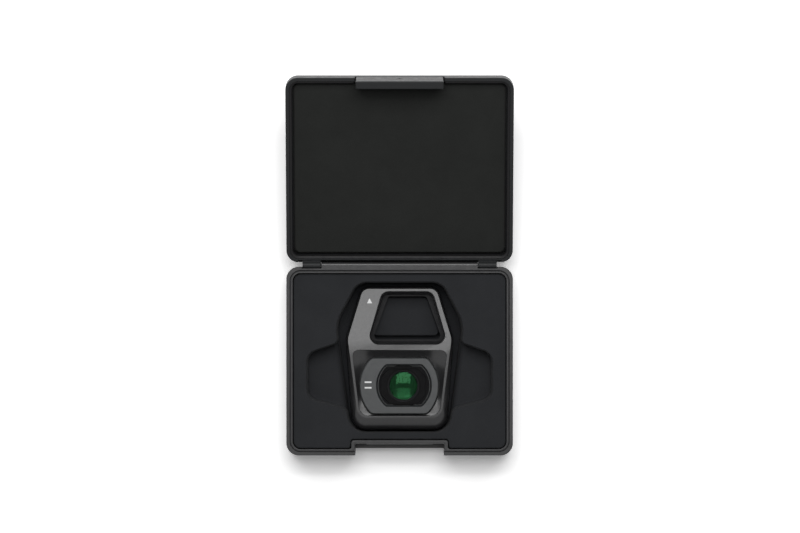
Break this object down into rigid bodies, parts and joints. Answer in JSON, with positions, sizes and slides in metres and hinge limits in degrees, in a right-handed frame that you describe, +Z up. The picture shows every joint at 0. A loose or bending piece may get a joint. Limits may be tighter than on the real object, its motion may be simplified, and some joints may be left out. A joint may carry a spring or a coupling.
{
  "type": "clip-on converter lens with case",
  "caption": "Clip-on wide-angle converter lens for a small camera, lying in the moulded tray of an open hinged storage case.",
  "frame": {"origin": "centre of the flat underside of the case base", "axes": "+Z up out of the base, +Y towards the hinge and the opened lid, +X to the right when the latch notch faces the viewer"},
  "size_m": [0.082, 0.1371, 0.0391],
  "materials": {
    "shell": "fine moulded texture, satin",
    "lining": "satin black",
    "pad": "flocked foam",
    "tray": "soft-touch moulding, dead matte",
    "steel": "plain",
    "frame": "bead-blasted grey paint",
    "black": "matt black",
    "hood": "fine texture, satin",
    "anodised": "black anodised",
    "rubber": "matt",
    "glass": "green anti-reflection coating"
  },
  "bodies": {
    "case_base": {"base_shell": "shell", "base_inner_frame": "shell", "lens_tray": "tray", "hinge_pin": "steel"},
    "lid": {"lid_shell": "shell", "lid_inner_frame": "lining", "lid_pad": "pad", "latch_tab": "shell"},
    "lens": {"front_frame": "frame", "rear_carrier": "black", "hood_bezel": "hood", "hood_baffle": "black", "lens_barrel": "anodised", "front_retaining_ring": "anodised", "front_element": "glass", "front_spacer": "black", "middle_element": "glass", "rear_spacer": "black", "rear_element": "glass", "rear_retaining_ring": "anodised", "rear_gasket": "rubber", "snap_clip_left": "steel", "snap_clip_right": "steel", "carrier_screw_1": "steel", "carrier_screw_2": "steel", "carrier_screw_3": "steel", "carrier_screw_4": "steel"}
  },
  "joints": [
    {"name": "lid_hinge", "type": "hinge", "parent": "case_base", "child": "lid", "pos_m": [0, 0.03475, 0.017], "axis": [1, 0, 0], "range_deg": [0, 165.4]},
    {"name": "lens_lift", "type": "slide", "parent": "case_base", "child": "lens", "axis": [0, 0, 1], "range_m": [0, 0.002]}
  ]
}
